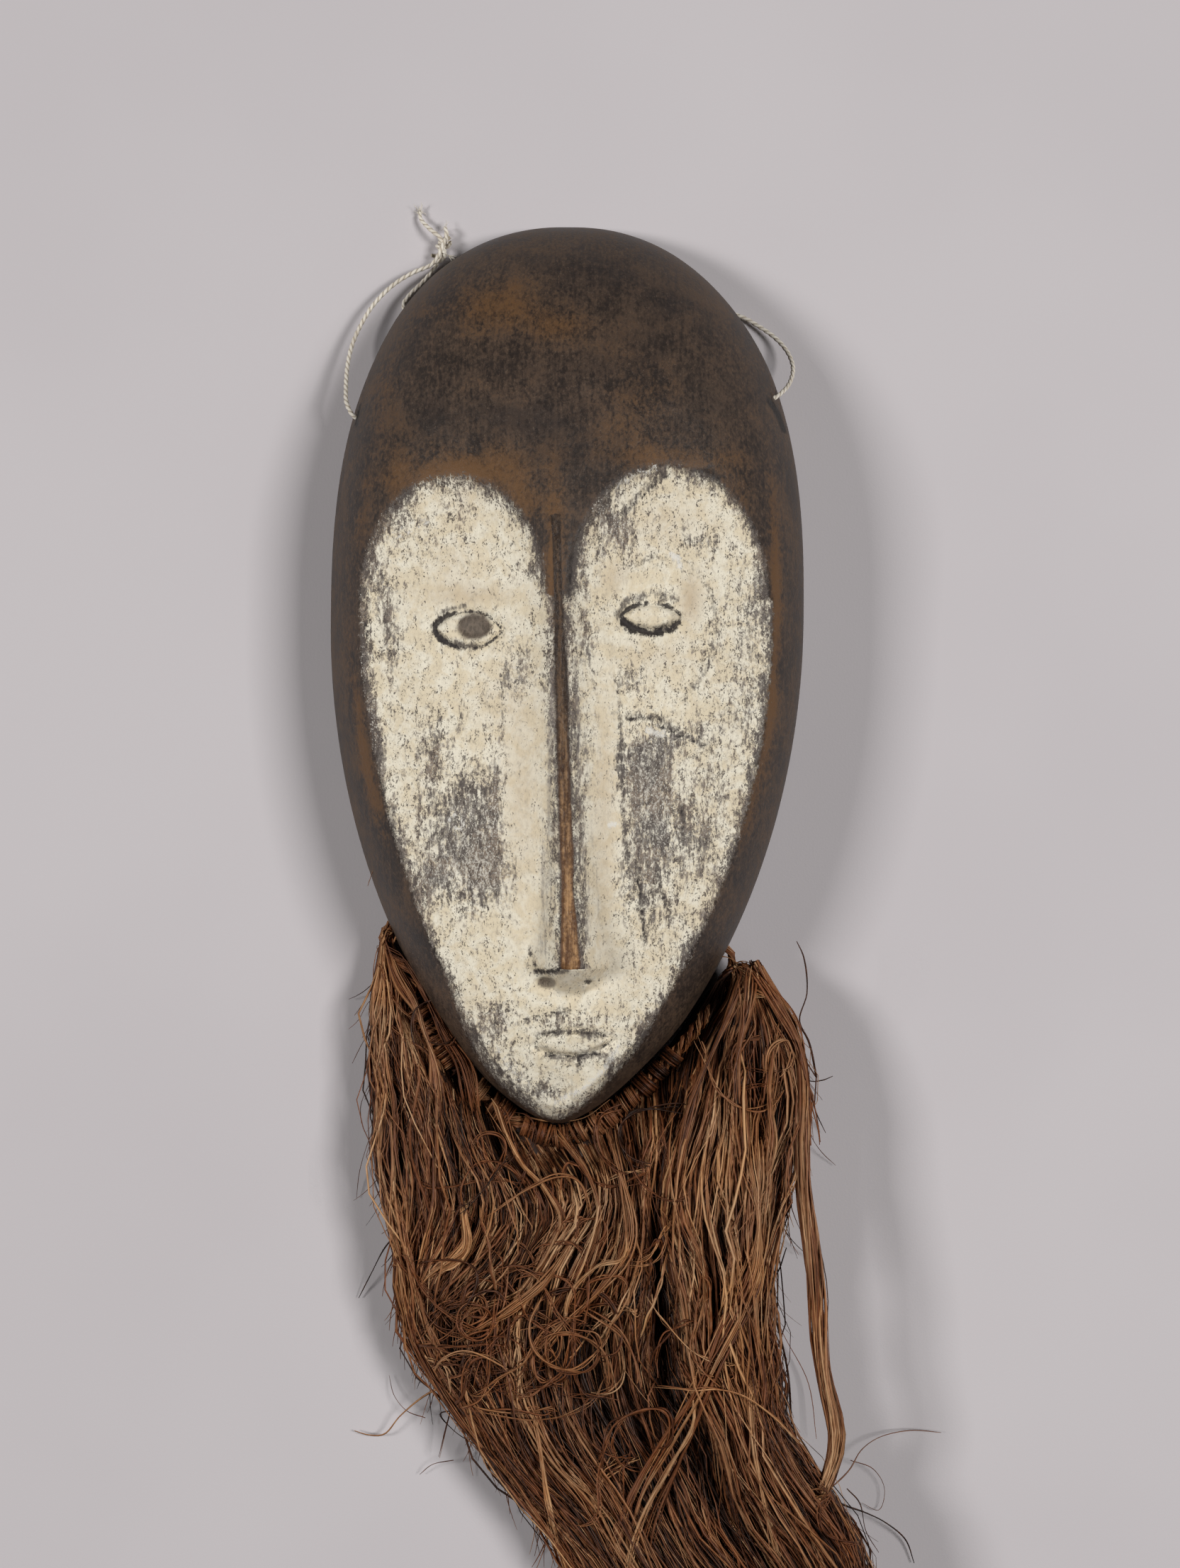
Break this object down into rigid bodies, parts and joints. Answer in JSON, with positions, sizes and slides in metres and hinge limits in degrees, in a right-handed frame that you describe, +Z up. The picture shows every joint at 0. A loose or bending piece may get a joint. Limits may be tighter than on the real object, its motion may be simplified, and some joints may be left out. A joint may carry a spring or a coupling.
{
  "type": "lega mask",
  "caption": "Small oval carved wooden mask with a whitened heart-shaped face, a long thin nose, a long raffia beard tied along the jaw and a knotted hanging string.",
  "frame": {"origin": "under the middle of the mask and its beard, on the surface the mask lies on", "axes": "+X to the viewer's right, +Y from the chin to the crown, +Z up, out of the face"},
  "size_m": [0.1502, 0.3856, 0.0481],
  "materials": {
    "painted_wood": "dark stained wood with a worn white kaolin face",
    "raffia": "dry brown plant fibre",
    "cotton_twine": "undyed two-ply cotton"
  },
  "bodies": {
    "root": {"wooden_mask": "painted_wood", "beard_cord": "raffia", "beard_hank_1": "raffia", "beard_hank_2": "raffia", "beard_hank_3": "raffia", "beard_hank_4": "raffia", "beard_hank_5": "raffia", "beard_hank_6": "raffia", "beard_hank_7": "raffia", "beard_hank_8": "raffia", "beard_hank_9": "raffia", "beard_outer_strand": "raffia", "hanging_string_left": "cotton_twine", "string_knot": "cotton_twine", "hanging_string_back": "cotton_twine"}
  },
  "joints": []
}
